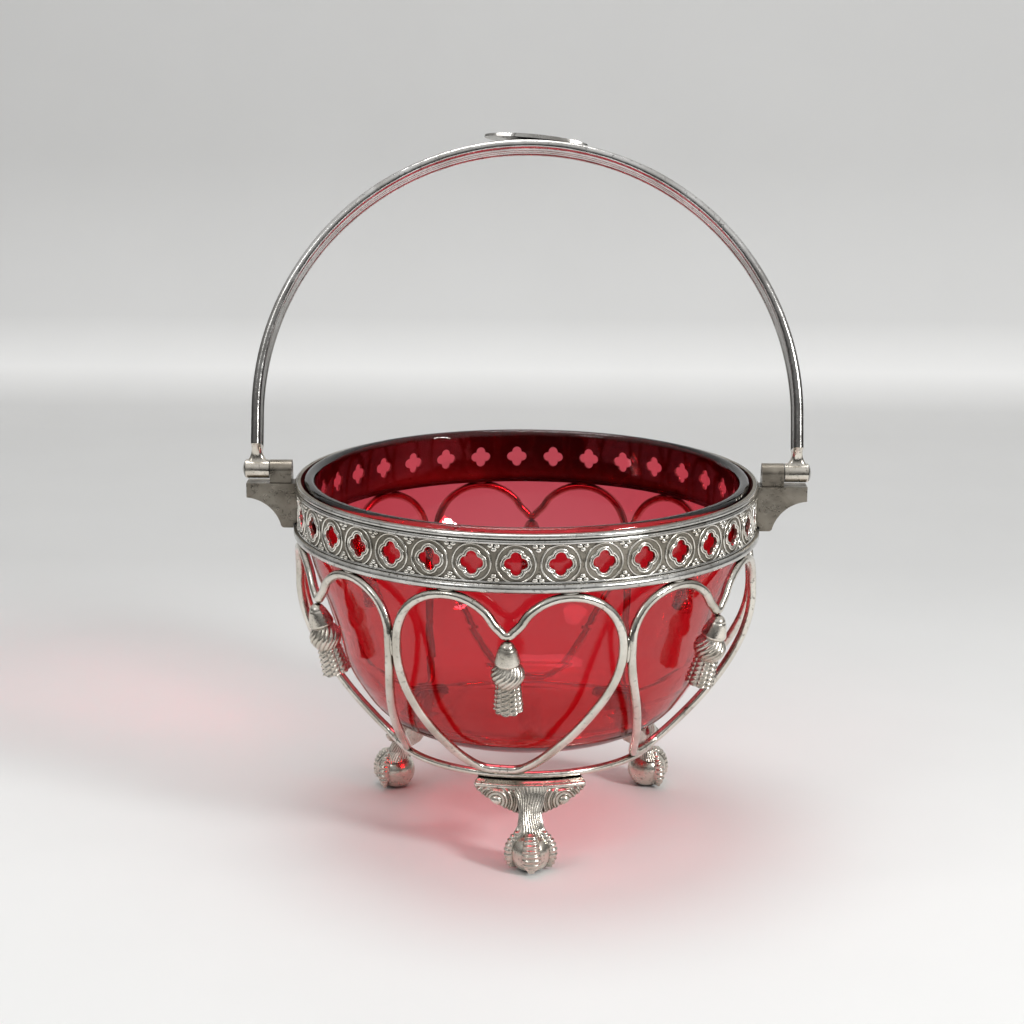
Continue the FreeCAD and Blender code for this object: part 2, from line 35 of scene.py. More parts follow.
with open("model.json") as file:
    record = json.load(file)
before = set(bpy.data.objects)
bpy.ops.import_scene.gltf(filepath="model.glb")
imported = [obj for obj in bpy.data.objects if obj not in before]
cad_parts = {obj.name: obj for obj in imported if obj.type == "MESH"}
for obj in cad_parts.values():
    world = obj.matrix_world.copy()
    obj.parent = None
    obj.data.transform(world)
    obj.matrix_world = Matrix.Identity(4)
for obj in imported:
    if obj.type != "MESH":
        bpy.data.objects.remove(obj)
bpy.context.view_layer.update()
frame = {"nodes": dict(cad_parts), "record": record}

MM = 0.001
TURN = 2 * math.pi

# Turns of the patterns about the axis, in degrees, and their counts
heart_turns = [-4.2, 53.3, 121.0, 178.5, 237.1, 298.3]
heart_leans = [-5.5, 6.0, 0.0, 0.0, 0.0, -4.0]
heart_pitch = 57.5
heart_half_turn = 27.62
heart_lobe_share = 0.53
foot_count = 3
foot_turn = 2.4
roundel_count = 35
roundel_turn = -2.3

# Camera: fitted to the photograph
camera_place = Vector((0, -586.5, 228.9)) * MM
camera_pitch = 13.94
camera_yaw = 0.37
camera_roll = 0.36
camera_lens = 81.08
camera_sensor = 36.0

# Floor and backdrop, and painted shade and light on the paper: floor by depth, wall and light strip by
# height.
# Each noise below is a size and a detail
floor_half_width = 0.75
floor_front = -0.32
wall_place = 0.62
wall_bend = 0.12
wall_bend_steps = 16
wall_height = 1.6
paper_colour = (0.86, 0.86, 0.85)
paper_grain_noise = (60 * MM, 3)
paper_grain = (0.98, 1.0)
paper_grain_range = (0.3, 0.7)
# Painted shade of the floor and wall, and the painted light strip at the bend with its heights
floor_painted_shade = (1.0, 0.74)
floor_painted_shade_depth = (-0.05, 0.26)
wall_painted_shade = (0.80, 0.86)
wall_painted_shade_height = (0.05, 0.40)
strip_painted_light = (1.0, 1.0, 1.0)
paper_roughness = 0.7
paper_gloss = 0.2
strip_painted_rise = (0.004, 0.018)
strip_painted_fall = (0.016, 0.040)

# Lamps: name, place, target, width and power
lamps = [
    ("key", (0.90, -0.72, 0.62), (0, 0, 0.05), 0.26, 8),
    ("fill", (-0.60, -0.70, 0.75), (0, 0, 0.07), 0.30, 0.9),
    ("top", (-0.10, 0.20, 1.1), (0, 0, 0.05), 0.6, 3.8),
]

# Sky: its strength, and its share of that between two heights of view
sky_strength = 0.64
sky_height = (-0.05, 0.7)
sky_share = (0.05, 1.0)

# Silver: sizes of the tarnish clouds, dark specks, patches of shine, scratches, dents and punched cells
cloud_noise = (9 * MM, 6)
cloud_range = (0.42, 0.72)
speck_noise = (0.9 * MM, 3)
speck_range = (0.60, 0.74)
speck_shade = 0.5
shine_noise = (3 * MM, 5)
shine_range = (0.35, 0.7)
open_range = (0.35, 0.95)
open_samples = 8
scratch_noise = (0.35 * MM, 2)
scratch_depth = 0.02 * MM
dent_noise = (4 * MM, 2)
dent_depth = 0.12 * MM
cell_size = 0.32 * MM
cell_depth = 0.10 * MM

# The strap of the handle is darker towards its ends: heights, share and shade
darker_end_heights = (0.105, 0.160)
darker_end_share = 0.95
darker_end_shade = 0.36

# Ruby glass: face, light that it keeps, how fast it takes up the rest, and shadow
glass_face = (1.0, 0.86, 0.88)
glass_index = 1.5
glass_body = (0.895, 0.03, 0.16)
glass_density = 700
glass_shadow = (0.84, 0.80, 0.805)
glass_haze_noise = (6 * MM, 4)
glass_haze = (0.0, 0.03)
glass_haze_range = (0.4, 0.8)
glass_wave_noise = (22 * MM, 1)
glass_wave_depth = 0.14 * MM

# Relief of the gallery band
ring_line_radius = 4.68 * MM
ring_line_wire = 0.27 * MM
hole_lobe_radius = 1.35 * MM
hole_lobe_offset = 1.5 * MM
hole_rim_rise = 0.74 * MM
hole_rim_wire = 0.31 * MM
hole_lip_rise = 0.20 * MM
hole_lip_wire = 0.26 * MM
pellet_width = 0.80 * MM
pellet_radius = 0.66 * MM
pellet_height = 0.50 * MM
bead_line_wire = 0.36 * MM
ring_line_steps = 64
lobe_steps = 14
line_sides = 8
lip_line_sides = 6
pellet_rings = 8
pellet_segments = 12
solder_rings = 12
solder_segments = 24
oval_pole_gap = 0.02

# Pellets between two roundels: across and up from the band's middle
pellet_places = [
    (-0.80, 4.34), (0.80, 4.34), (0.0, 3.40), (0.0, -3.12), (-0.80, -4.06), (0.80, -4.06),
]

# Mouldings, which stand a little off the band
rim_reed_count = 2
moulding_stand = 0.05 * MM

# Solder at the joints of the wire: across, outward and up
lobe_solder = (2.2 * MM, 0.95 * MM, 0.7 * MM)
tip_solder = (3.2 * MM, 0.8 * MM, 0.8 * MM)
end_solder = (0.8 * MM, 1.2 * MM, 1.2 * MM)
side_solder = (0.75 * MM, 0.9 * MM, 3.4 * MM)
lobe_solder_inset = 0.4 * MM
lobe_solder_drop = 0.1 * MM
tip_solder_radius = 34.95 * MM
tip_solder_z = 24.0 * MM
end_solder_radius = 35.62 * MM
end_solder_z = 24.83 * MM
side_solder_radius = 59.4 * MM
side_solder_z = 62.7 * MM
side_solder_hearts = (0, 1, 3)

# Tassel, along its own axis
tassel_tilt = 17.0
cap_length = 6.1 * MM
knot_length = 5.9 * MM
skirt_length = 7.2 * MM
top_radius = 2.0 * MM
cap_radius = 3.2 * MM
neck_radius = 2.65 * MM
knot_radius = 4.15 * MM
skirt_top_radius = 2.95 * MM
skirt_radius = 3.65 * MM
flute_count = 15
flute_depth = 0.42 * MM
strand_count = 9
strand_depth = 0.40 * MM
strand_twist_depth = 0.18 * MM
strand_twist_pitch = 1.30 * MM
strand_phase = 5
flute_turn = 1.3
flute_power = 0.6
bell_start = 0.25
bell_share = 0.6
bell_power = 0.8
roll_start = 0.88
hem_share = 0.02
tassel_rows = 170
tassel_columns = 216

# Foot: the turn, height and half width of each talon over the ball, and where it starts, widens and
# ends, as angles down from the ball's top. Then the leg and the capital, with their half widths at
# shares of their heights
foot_radius = 40.4 * MM
ball_radius = 5.3 * MM
ball_flat_depth = 0.4 * MM
talons = [(-84.0, 1.45 * MM, 1.55 * MM), (0.0, 1.25 * MM, 2.60 * MM), (84.0, 1.45 * MM, 1.55 * MM)]
talon_top_share = 0.50
talon_widest = 1.7
talon_taper_start = 1.85
talon_taper = 0.60
talon_point = 0.02
talon_start = 0.15
talon_start_fade = 0.4
talon_end = 2.45
talon_end_fade = 0.25
talon_rib_pitch = 1.05 * MM
talon_rib_depth = 0.17 * MM
leg_half_width = 4.75 * MM
leg_half_depth = 3.2 * MM
leg_low = 8.2 * MM
leg_low_inset = 0.6 * MM
leg_top_inset = 1.25 * MM
leg_height_shares = [0.0, 0.22, 0.5, 0.75, 1.0]
leg_width_shares = [1.08, 0.72, 0.60, 0.80, 1.0]
leg_depth_shares = [1.0, 0.80, 0.66, 0.60, 0.56]
leg_round_shares = [1.0, 1.0, 0.85, 0.50, 0.36]
shaft_hair_count = 30
shaft_hair_depth = 0.32 * MM
shaft_hair_power = 0.7
shaft_wave = 0.10
shaft_wave_rise = 9
shaft_wave_round = 3
leg_overlap = 1.0 * MM
foot_columns = 260
pole_gap = 0.01
ball_rows = 150
shaft_rows = 110
lip_radius = 37.2 * MM
lip_inner_radius = 33.4 * MM
lip_height = 2.3 * MM
lip_end_start = 0.97
lip_end_least = 0.02
lip_steps = 61
lip_width = 30.0 * MM
capital_width = 29.0 * MM
capital_height = 8.8 * MM
capital_depth = 3.2 * MM
capital_stand = 0.1 * MM
capital_start = 0.16
capital_tuck = 0.10
capital_tuck_depth = 0.45 * MM
capital_edge = 0.5 * MM
capital_rows = 110
capital_columns = 321
scroll_place = 8.7 * MM
scroll_drop = 5.1 * MM
scroll_start = 2.1 * MM
scroll_reach = 6.1 * MM
scroll_pitch = 1.33 * MM
scroll_line_height = 0.60 * MM
scroll_eye_radius = 1.5 * MM
scroll_eye_height = 0.95 * MM
capital_height_shares = [0.0, 0.25, 0.46, 0.73, 0.91, 1.0]
capital_width_shares = [1.0, 1.0, 0.84, 0.545, 0.283, 0.17]

# Outline of the lip from its hollow over the rolled edge, outward and up from the top of its face, and
# from the face to the underside, up from the bottom, in millimetres
lip_flat = 0.7 * MM
lip_hollow = [(-1.3, -0.35), (-0.75, -0.9), (-0.35, -0.75), (-0.05, -1.1), (0, -1.55)]
lip_underside = [(-0.15, 0.2), (-0.6, 0)]

# Handle
hinge_rise = 1.8 * MM
handle_lean = 18.0
handle_edge = 2.6 * MM
handle_web = 1.5 * MM
handle_width_low = 9.2 * MM
handle_width_top = 10.6 * MM
handle_leg = 15.0 * MM
handle_neck = 6.25 * MM
handle_reed_count = 3
handle_reed_rise = 0.35 * MM
handle_leg_steps = 16
handle_arch_steps = 220
handle_edge_steps = 19
handle_face_steps = 49
handle_edge_wrap = 0.9


def grid_faces(rows, columns, wrap_rows=False, wrap_columns=True):
    """The four-sided faces of a grid of points, row by row."""
    row = np.arange(rows if wrap_rows else rows - 1)
    column = np.arange(columns if wrap_columns else columns - 1)
    low_row, low_column = np.meshgrid(row, column, indexing="ij")
    next_row = (low_row + 1) % rows
    next_column = (low_column + 1) % columns
    corners = (
        low_row * columns + low_column, low_row * columns + next_column,
        next_row * columns + next_column, next_row * columns + low_column,
    )
    return np.stack([corner.ravel() for corner in corners], 1)


def grid(points, wrap_rows=False, wrap_columns=True):
    """A surface through a grid of points with three values each."""
    rows, columns = points.shape[:2]
    return points.reshape(-1, 3), grid_faces(rows, columns, wrap_rows, wrap_columns)


def joined(surfaces):
    """Several surfaces as one."""
    vertices, faces, start = [], [], 0
    for points, quads in surfaces:
        vertices.append(points)
        faces.append(quads + start)
        start += len(points)
    return np.concatenate(vertices), np.concatenate(faces)


def turned(surface, angle):
    """A surface turned about the vertical axis, in degrees."""
    points, faces = surface
    turn = np.array(Matrix.Rotation(math.radians(angle), 3, "Z"))
    return points @ turn.T, faces


def piece(name, surface, body, material, replaced=()):
    """A smooth mesh object from a surface, riding on a body."""
    points, faces = surface
    mesh = bpy.data.meshes.new(name)
    mesh.from_pydata(points.tolist(), [], faces.tolist())
    mesh.validate()
    mesh.shade_smooth()
    mesh.materials.append(material)
    made = bpy.data.objects.new(name, mesh)
    bpy.context.scene.collection.objects.link(made)
    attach(made, body)
    if replaced:
        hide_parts(*replaced)
    return made


def lathe(profile, segments=360):
    """A profile of (radius, height) points turned about the vertical axis."""
    radius, height = np.array(profile).T
    angle = np.arange(segments) / segments * TURN
    points = np.stack([
        np.outer(radius, np.cos(angle)), np.outer(radius, np.sin(angle)),
        np.repeat(height[:, None], segments, 1),
    ], 2)
    return grid(points)


def ring_wire(path, outward, radius, sides):
    """A round wire along a closed path."""
    outward = np.broadcast_to(np.asarray(outward, float), path.shape)
    along = np.roll(path, -1, 0) - np.roll(path, 1, 0)
    across = np.cross(along, outward)
    across /= np.linalg.norm(across, axis=1, keepdims=True)
    up = np.cross(across, along)
    up /= np.linalg.norm(up, axis=1, keepdims=True)
    angle = np.arange(sides) / sides * TURN
    rings = across[:, None] * np.cos(angle)[None, :, None] * radius
    rings = rings + up[:, None] * np.sin(angle)[None, :, None] * radius
    return grid(path[:, None] + rings, wrap_rows=True)


def oval(centre, radii, rings, segments):
    """A full oval body, for pellets and solder."""
    polar = np.linspace(oval_pole_gap, math.pi - oval_pole_gap, rings)
    angle = np.arange(segments) / segments * TURN
    points = np.stack([
        np.outer(np.sin(polar), np.cos(angle)), np.outer(np.sin(polar), np.sin(angle)),
        np.repeat(np.cos(polar)[:, None], segments, 1),
    ], 2)
    return grid(points * np.array(radii) + np.array(centre))


def circle_path(radius, steps):
    """A circle in the plane of its first two values."""
    angle = np.arange(steps) / steps * TURN
    return np.stack([radius * np.cos(angle), radius * np.sin(angle), 0 * angle], 1)


def lobed_path(lobe_radius, lobe_offset, steps):
    """The outline round four overlapping circles, in the plane of its first two values."""
    corner = (lobe_offset + math.sqrt(2 * lobe_radius ** 2 - lobe_offset ** 2)) / 2
    reach = math.atan2(corner, corner - lobe_offset)
    points = []
    for lobe in range(4):
        turn = lobe * TURN / 4
        for share in np.arange(steps) / steps:
            angle = turn - reach + 2 * reach * share
            points.append((
                lobe_offset * math.cos(turn) + lobe_radius * math.cos(angle),
                lobe_offset * math.sin(turn) + lobe_radius * math.sin(angle), 0,
            ))
    return np.array(points)


class Nodes:
    """A material's node tree, with the few kinds of nodes that the finishes need."""

    def __init__(self, name):
        self.material = bpy.data.materials.new(name)
        self.material.use_nodes = True
        self.tree = self.material.node_tree
        self.shader = self.tree.nodes["Principled BSDF"]
        self.output = self.tree.nodes["Material Output"]
        self.place = self.add("ShaderNodeTexCoord").outputs["Object"]

    def add(self, kind, **values):
        node = self.tree.nodes.new(kind)
        for key, value in values.items():
            setattr(node, key, value)
        return node

    def link(self, source, target):
        self.tree.links.new(source, target)

    def set(self, **values):
        for key, value in values.items():
            self.shader.inputs[key.replace("_", " ")].default_value = value

    def noise(self, size, detail):
        """Noise whose lumps are about size wide, in metres."""
        node = self.add("ShaderNodeTexNoise")
        node.inputs["Scale"].default_value = 1 / size
        node.inputs["Detail"].default_value = detail
        self.link(self.place, node.inputs["Vector"])
        return node.outputs["Fac"]

    def ramp(self, source, low, high, start, end):
        """A source's range from start to end, spread from low to high."""
        node = self.add("ShaderNodeMapRange", clamp=True)
        self.link(source, node.inputs["Value"])
        node.inputs["From Min"].default_value = start
        node.inputs["From Max"].default_value = end
        node.inputs["To Min"].default_value = low
        node.inputs["To Max"].default_value = high
        return node.outputs["Result"]

    def times(self, source, factor):
        """A colour times another one, which is a value or a socket."""
        node = self.add("ShaderNodeVectorMath", operation="MULTIPLY")
        self.link(source, node.inputs[0])
        if isinstance(factor, tuple):
            node.inputs[1].default_value = factor
        else:
            self.link(factor, node.inputs[1])
        return node.outputs["Vector"]

    def mix(self, factor, first, second):
        """A colour between two colours, each a value or a socket."""
        node = self.add("ShaderNodeMix", data_type="RGBA")
        self.link(factor, node.inputs["Factor"])
        for value, key in ((first, "A"), (second, "B")):
            socket = [item for item in node.inputs if item.name == key and item.type == "RGBA"][0]
            if isinstance(value, tuple):
                socket.default_value = (*value, 1)
            else:
                self.link(value, socket)
        return [item for item in node.outputs if item.type == "RGBA"][0]

    def bump(self, height, depth, below=None):
        """A bump of that depth, in metres, laid over another one."""
        node = self.add("ShaderNodeBump")
        node.inputs["Strength"].default_value = 1
        node.inputs["Distance"].default_value = depth
        self.link(height, node.inputs["Height"])
        if below:
            self.link(below, node.inputs["Normal"])
        return node.outputs["Normal"]

    def openness(self, distance):
        """One where a surface is open, less in its crevices."""
        node = self.add("ShaderNodeAmbientOcclusion", samples=open_samples)
        node.inputs["Distance"].default_value = distance
        return node.outputs["AO"]


def shaded(colour, share):
    """A colour darkened to a share."""
    return tuple(share * value for value in colour)


def silver(name, bright, tarnish, patina, rough, crevice, stippled=False, darker_ends=False):
    """Silver plate: worn bright metal with tarnish in clouds and patina in the crevices."""
    nodes = Nodes(name)
    clouds = nodes.ramp(nodes.noise(*cloud_noise), 0, 1, *cloud_range)
    specks = nodes.ramp(nodes.noise(*speck_noise), 0, 1, *speck_range)
    colour = nodes.mix(clouds, bright, tarnish)
    colour = nodes.mix(specks, colour, shaded(tarnish, speck_shade))
    if darker_ends:
        # Darker colour towards the lower ends of the strap, by height
        split = nodes.add("ShaderNodeSeparateXYZ")
        nodes.link(nodes.place, split.inputs["Vector"])
        end_darkening = nodes.ramp(split.outputs["Z"], darker_end_share, 0, *darker_end_heights)
        colour = nodes.mix(end_darkening, colour, shaded(tarnish, darker_end_shade))
    crevices = nodes.ramp(nodes.openness(crevice), 1, 0, *open_range)
    colour = nodes.mix(crevices, colour, patina)
    nodes.link(colour, nodes.shader.inputs["Base Color"])
    nodes.set(Metallic=1)
    roughness = nodes.ramp(nodes.noise(*shine_noise), *rough, *shine_range)
    nodes.link(roughness, nodes.shader.inputs["Roughness"])
    normal = nodes.bump(nodes.noise(*scratch_noise), scratch_depth)
    normal = nodes.bump(nodes.noise(*dent_noise), dent_depth, normal)
    if stippled:
        cells = nodes.add("ShaderNodeTexVoronoi", feature="F1")
        cells.inputs["Scale"].default_value = 1 / cell_size
        nodes.link(nodes.place, cells.inputs["Vector"])
        normal = nodes.bump(cells.outputs["Distance"], cell_depth, normal)
    nodes.link(normal, nodes.shader.inputs["Normal"])
    return nodes.material


def ruby_glass(name):
    """Ruby glass: red by the length of the way through it, with faint waves in the surface."""
    nodes = Nodes(name)
    nodes.set(Base_Color=(*glass_face, 1), Transmission_Weight=1, IOR=glass_index)
    roughness = nodes.ramp(nodes.noise(*glass_haze_noise), *glass_haze, *glass_haze_range)
    nodes.link(roughness, nodes.shader.inputs["Roughness"])
    waves = nodes.bump(nodes.noise(*glass_wave_noise), glass_wave_depth)
    nodes.link(waves, nodes.shader.inputs["Normal"])
    body = nodes.add("ShaderNodeVolumeAbsorption")
    body.inputs["Color"].default_value = (*glass_body, 1)
    body.inputs["Density"].default_value = glass_density
    nodes.link(body.outputs["Volume"], nodes.output.inputs["Volume"])
    clear = nodes.add("ShaderNodeBsdfTransparent")
    clear.inputs["Color"].default_value = (*glass_shadow, 1)
    path = nodes.add("ShaderNodeLightPath")
    blend = nodes.add("ShaderNodeMixShader")
    nodes.link(path.outputs["Is Shadow Ray"], blend.inputs["Fac"])
    nodes.link(nodes.shader.outputs["BSDF"], blend.inputs[1])
    nodes.link(clear.outputs["BSDF"], blend.inputs[2])
    nodes.link(blend.outputs["Shader"], nodes.output.inputs["Surface"])
    return nodes.material


def paper(name, colour):
    """Matt studio paper with painted light: palest in front, painted shade towards the back, and a painted
    light strip at the bend.
    """
    nodes = Nodes(name)
    grain = nodes.ramp(nodes.noise(*paper_grain_noise), *paper_grain, *paper_grain_range)
    split = nodes.add("ShaderNodeSeparateXYZ")
    nodes.link(nodes.place, split.inputs["Vector"])
    # Painted shade: the floor darker towards the back, the wall by height
    floor = nodes.ramp(split.outputs["Y"], *floor_painted_shade, *floor_painted_shade_depth)
    wall = nodes.ramp(split.outputs["Z"], *wall_painted_shade, *wall_painted_shade_height)
    # Painted light: a bright strip at the bend, rising and falling with height
    strip_painted_low = nodes.ramp(split.outputs["Z"], 0, 1, *strip_painted_rise)
    strip_painted_high = nodes.ramp(split.outputs["Z"], 0, 1, *strip_painted_fall)
    shade = nodes.mix(strip_painted_low, floor, strip_painted_light)
    shade = nodes.mix(strip_painted_high, shade, wall)
    shade = nodes.times(nodes.times(shade, grain), colour)
    nodes.link(shade, nodes.shader.inputs["Base Color"])
    nodes.set(Roughness=paper_roughness, Specular_IOR_Level=paper_gloss)
    return nodes.material


# Metals: bright, tarnished and in the crevices, then the range of roughness and the width of a crevice
plate_silver = silver(
    "plate_silver", (0.66, 0.65, 0.62), (0.40, 0.38, 0.35), (0.10, 0.09, 0.07), (0.14, 0.30), 1.2 * MM,
)
wire_silver = silver(
    "wire_silver", (0.77, 0.73, 0.66), (0.53, 0.49, 0.42), (0.14, 0.12, 0.10), (0.12, 0.26), 1.0 * MM,
)
cast_silver = silver(
    "cast_silver", (0.78, 0.73, 0.65), (0.46, 0.42, 0.35), (0.05, 0.04, 0.03), (0.18, 0.34), 1.1 * MM,
)
strap_silver = silver(
    "strap_silver", (0.80, 0.79, 0.77), (0.52, 0.50, 0.47), (0.10, 0.09, 0.07), (0.14, 0.30), 1.2 * MM,
    darker_ends=True,
)
dark_silver = silver(
    "dark_silver", (0.42, 0.38, 0.32), (0.24, 0.21, 0.17), (0.05, 0.04, 0.03), (0.24, 0.42), 1.2 * MM,
)
ground_silver = silver(
    "ground_silver", (0.34, 0.31, 0.26), (0.22, 0.20, 0.16), (0.06, 0.05, 0.04), (0.34, 0.52), 1.4 * MM,
    stippled=True,
)
relief_silver = silver(
    "relief_silver", (0.90, 0.87, 0.80), (0.62, 0.58, 0.50), (0.10, 0.09, 0.07), (0.16, 0.32), 0.7 * MM,
)
glass = ruby_glass("ruby_glass")

finishes = {
    "silver_plate": plate_silver, "silver_wire": wire_silver, "cast_silver": cast_silver,
    "patinated_silver": ground_silver, "ruby_glass": glass,
}
for entry in frame["record"]["subparts"]:
    for item in frame["nodes"][entry["node"]].material_slots:
        item.material = finishes[entry["material_slot"]]
for name in ("hinge_bracket_left", "hinge_bracket_right"):
    frame["nodes"][name].material_slots[0].material = dark_silver

band_low, band_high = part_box("gallery_band")
band_radius = band_high.x
band_middle = (band_low.z + band_high.z) / 2


def on_band(points, angle):
    """Points of a flat panel, across, up and outward, laid round the band at an angle."""
    turn = math.radians(angle) + points[:, 0] / band_radius
    radius = band_radius + points[:, 2]
    return np.stack([radius * np.sin(turn), -radius * np.cos(turn), band_middle + points[:, 1]], 1)


def make_band_relief():
    """The raised lines, rims and pellets of the pierced band."""
    outward = (0, 0, 1)
    ring = circle_path(ring_line_radius, ring_line_steps)
    rim = lobed_path(hole_lobe_radius + hole_rim_rise, hole_lobe_offset, lobe_steps)
    lip = lobed_path(hole_lobe_radius + hole_lip_rise, hole_lobe_offset, lobe_steps)
    parts = [
        ring_wire(ring, outward, ring_line_wire, line_sides),
        ring_wire(rim, outward, hole_rim_wire, line_sides),
        ring_wire(lip, outward, hole_lip_wire, lip_line_sides),
    ]
    middle = math.pi / roundel_count * band_radius
    for across, up in pellet_places:
        centre = (middle + across * MM, up * MM, 0)
        radii = (pellet_width, pellet_radius, pellet_height)
        parts.append(oval(centre, radii, pellet_rings, pellet_segments))
    points, faces = joined(parts)
    step = 360 / roundel_count
    roundels = []
    for index in range(roundel_count):
        roundels.append((on_band(points, roundel_turn + step * index), faces))
    return joined(roundels)


piece("gallery_relief", make_band_relief(), "basket", relief_silver)


def make_solder():
    """The solder where the hearts meet the bead, the base ring and each other."""
    drops = []

    def drop(radii, radius, z, turn):
        drops.append(turned(oval((0, -radius, z), radii, solder_rings, solder_segments), turn))

    lobe = heart_half_turn * heart_lobe_share
    lobe_radius = band_radius - lobe_solder_inset
    lobe_z = band_low.z - lobe_solder_drop
    for turn, lean in zip(heart_turns, heart_leans):
        for side in (-1, 1):
            drop(lobe_solder, lobe_radius, lobe_z, turn + side * lobe)
        drop(tip_solder, tip_solder_radius, tip_solder_z, turn + lean)
        drop(end_solder, end_solder_radius, end_solder_z, turn + lean)
    for index in side_solder_hearts:
        drop(side_solder, side_solder_radius, side_solder_z, heart_turns[index] - heart_pitch / 2)
    return joined(drops)


piece("solder", make_solder(), "basket", wire_silver)


def half_round_profile(inner, low, high, depth, steps=14):
    """The outline of a half-round moulding, closed behind."""
    angle = np.linspace(-math.pi / 2, math.pi / 2, steps)
    middle, half = (low + high) / 2, (high - low) / 2
    front = [(inner + depth * math.cos(turn), middle + half * math.sin(turn)) for turn in angle]
    return front + [front[0]]


def make_rim_moulding():
    """The reeds round the band's upper edge."""
    low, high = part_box("rim_moulding")
    inner = band_radius + moulding_stand
    depth = high.x - inner
    step = (high.z - low.z) / rim_reed_count
    reeds = []
    for index in range(rim_reed_count):
        start = low.z + step * index
        reeds.append(lathe(half_round_profile(inner, start, start + step, depth)))
    return joined(reeds)


def make_lower_bead():
    """The bead round the band's lower edge and the thin line above it."""
    low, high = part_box("lower_bead")
    inner = band_radius + moulding_stand
    bead = lathe(half_round_profile(inner, low.z, high.z, high.x - inner))
    line_low = high.z - bead_line_wire / 3
    line = lathe(half_round_profile(inner, line_low, line_low + 2 * bead_line_wire, bead_line_wire, 10))
    return joined([bead, line])


piece("rim_reeds", make_rim_moulding(), "basket", plate_silver, ["rim_moulding"])
piece("bead_and_line", make_lower_bead(), "basket", plate_silver, ["lower_bead"])


def make_tassel():
    """A tassel along its own axis: bell cap, fluted knot and a skirt of twisted strands."""
    total = cap_length + knot_length + skirt_length
    steps = np.linspace(0, total, tassel_rows)
    angle = np.arange(tassel_columns) / tassel_columns * TURN
    along, around = np.meshgrid(steps, angle, indexing="ij")
    cap_share = np.clip(along / cap_length, 0, 1)
    cap = top_radius * np.sqrt(np.clip(1 - (1 - np.clip(along / top_radius, 0, 1)) ** 2, 0, 1))
    bell = (cap_radius - top_radius) * np.clip((cap_share - bell_start) / bell_share, 0, 1) ** bell_power
    roll = (cap_radius - neck_radius) * np.clip((cap_share - roll_start) / (1 - roll_start), 0, 1) ** 2
    cap = cap + bell - roll
    knot_share = np.clip((along - cap_length) / knot_length, 0, 1)
    knot_rise = np.sin(math.pi * knot_share)
    knot = neck_radius + (skirt_top_radius - neck_radius) * knot_share
    knot = knot + (knot_radius - (neck_radius + skirt_top_radius) / 2) * knot_rise
    flute = np.abs(np.sin(flute_count / 2 * (around + flute_turn * knot_share)))
    knot = knot - flute_depth * (1 - flute ** flute_power) * knot_rise ** 0.5
    skirt_share = np.clip((along - cap_length - knot_length) / skirt_length, 0, 1)
    skirt = skirt_top_radius + (skirt_radius - skirt_top_radius) * skirt_share
    strand = np.abs(np.sin(strand_count / 2 * around))
    phase = np.mod(around * strand_count / TURN, 1) * strand_phase
    twist = np.sin(along / strand_twist_pitch * TURN + phase)
    skirt = skirt - strand_depth * (1 - np.sqrt(strand)) + strand_twist_depth * twist * np.sqrt(strand)
    radius = np.where(along < cap_length, cap, np.where(along < cap_length + knot_length, knot, skirt))
    points = np.stack([radius * np.cos(around), radius * np.sin(around), -along], 2)
    hem = points[-1:].copy()
    hem[..., :2] *= hem_share
    return grid(np.concatenate([points, hem]))


def make_tassel_place(node, angle):
    """Where a tassel hangs: the middle of the top of its node, and its tilt and turn."""
    low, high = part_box(node)
    turn = math.radians(angle)
    spot = Vector(((low.x + high.x) / 2, (low.y + high.y) / 2, 0))
    outward = Vector((math.sin(turn), -math.cos(turn), 0))
    tilt = math.radians(tassel_tilt)
    length = cap_length + knot_length + skirt_length
    # The node leans inward, so its box's middle is half its reach in from its top
    lean_in = (length - top_radius) * math.sin(tilt)
    half_reach = lean_in / 2 + (skirt_radius * math.cos(tilt) - top_radius) / 2
    radius = spot.dot(outward) + half_reach
    centre = outward * radius + Vector((0, 0, high.z - top_radius))
    lean = Matrix.Rotation(turn, 4, "Z") @ Matrix.Rotation(tilt, 4, "X")
    return Matrix.Translation(centre) @ lean @ Matrix.Translation((0, 0, top_radius))


tassel_surface = make_tassel()
for index, turn in enumerate(heart_turns):
    number = str(index + 1)
    place = make_tassel_place("tassel_" + number, turn)
    points, faces = tassel_surface
    surface = points @ np.array(place.to_3x3()).T + np.array(place.translation), faces
    replaced = ["tassel_" + number]
    piece("tassel_detail_" + number, surface, "basket", cast_silver, replaced)


def make_claw_ball():
    """The ball with three ribbed talons over it, as heights over a sphere."""
    polar = np.linspace(pole_gap, math.pi - pole_gap, ball_rows)
    angle = np.arange(foot_columns) / foot_columns * TURN
    down, around = np.meshgrid(polar, angle, indexing="ij")
    height = np.zeros_like(down)
    for turn, talon_height, talon_half_width in talons:
        away = np.mod(around - math.radians(turn) + math.pi, TURN) - math.pi
        spread = np.clip(down / talon_widest, 0, 1)
        width = talon_half_width * (talon_top_share + (1 - talon_top_share) * spread)
        taper = np.clip(1 - (down - talon_taper_start) / talon_taper, talon_point, 1)
        width = np.where(down > talon_taper_start, width * taper, width)
        share = np.clip(np.abs(away) * ball_radius * np.sin(down) / width, 0, 1)
        crown = np.sqrt(1 - share ** 2)
        ribs = np.sin(down * ball_radius / talon_rib_pitch * TURN)
        fade = np.clip((talon_end - down) / talon_end_fade, 0, 1)
        fade = fade * np.clip((down - talon_start) / talon_start_fade, 0, 1)
        height = np.maximum(height, crown * fade * (talon_height + talon_rib_depth * ribs))
    radius = ball_radius + height
    x = radius * np.sin(down) * np.sin(around)
    y = -radius * np.sin(down) * np.cos(around)
    z = np.maximum(radius * np.cos(down), ball_flat_depth - ball_radius)
    points = np.stack([x, y, z], 2) + np.array([0, -foot_radius, ball_radius - ball_flat_depth])
    return grid(points)


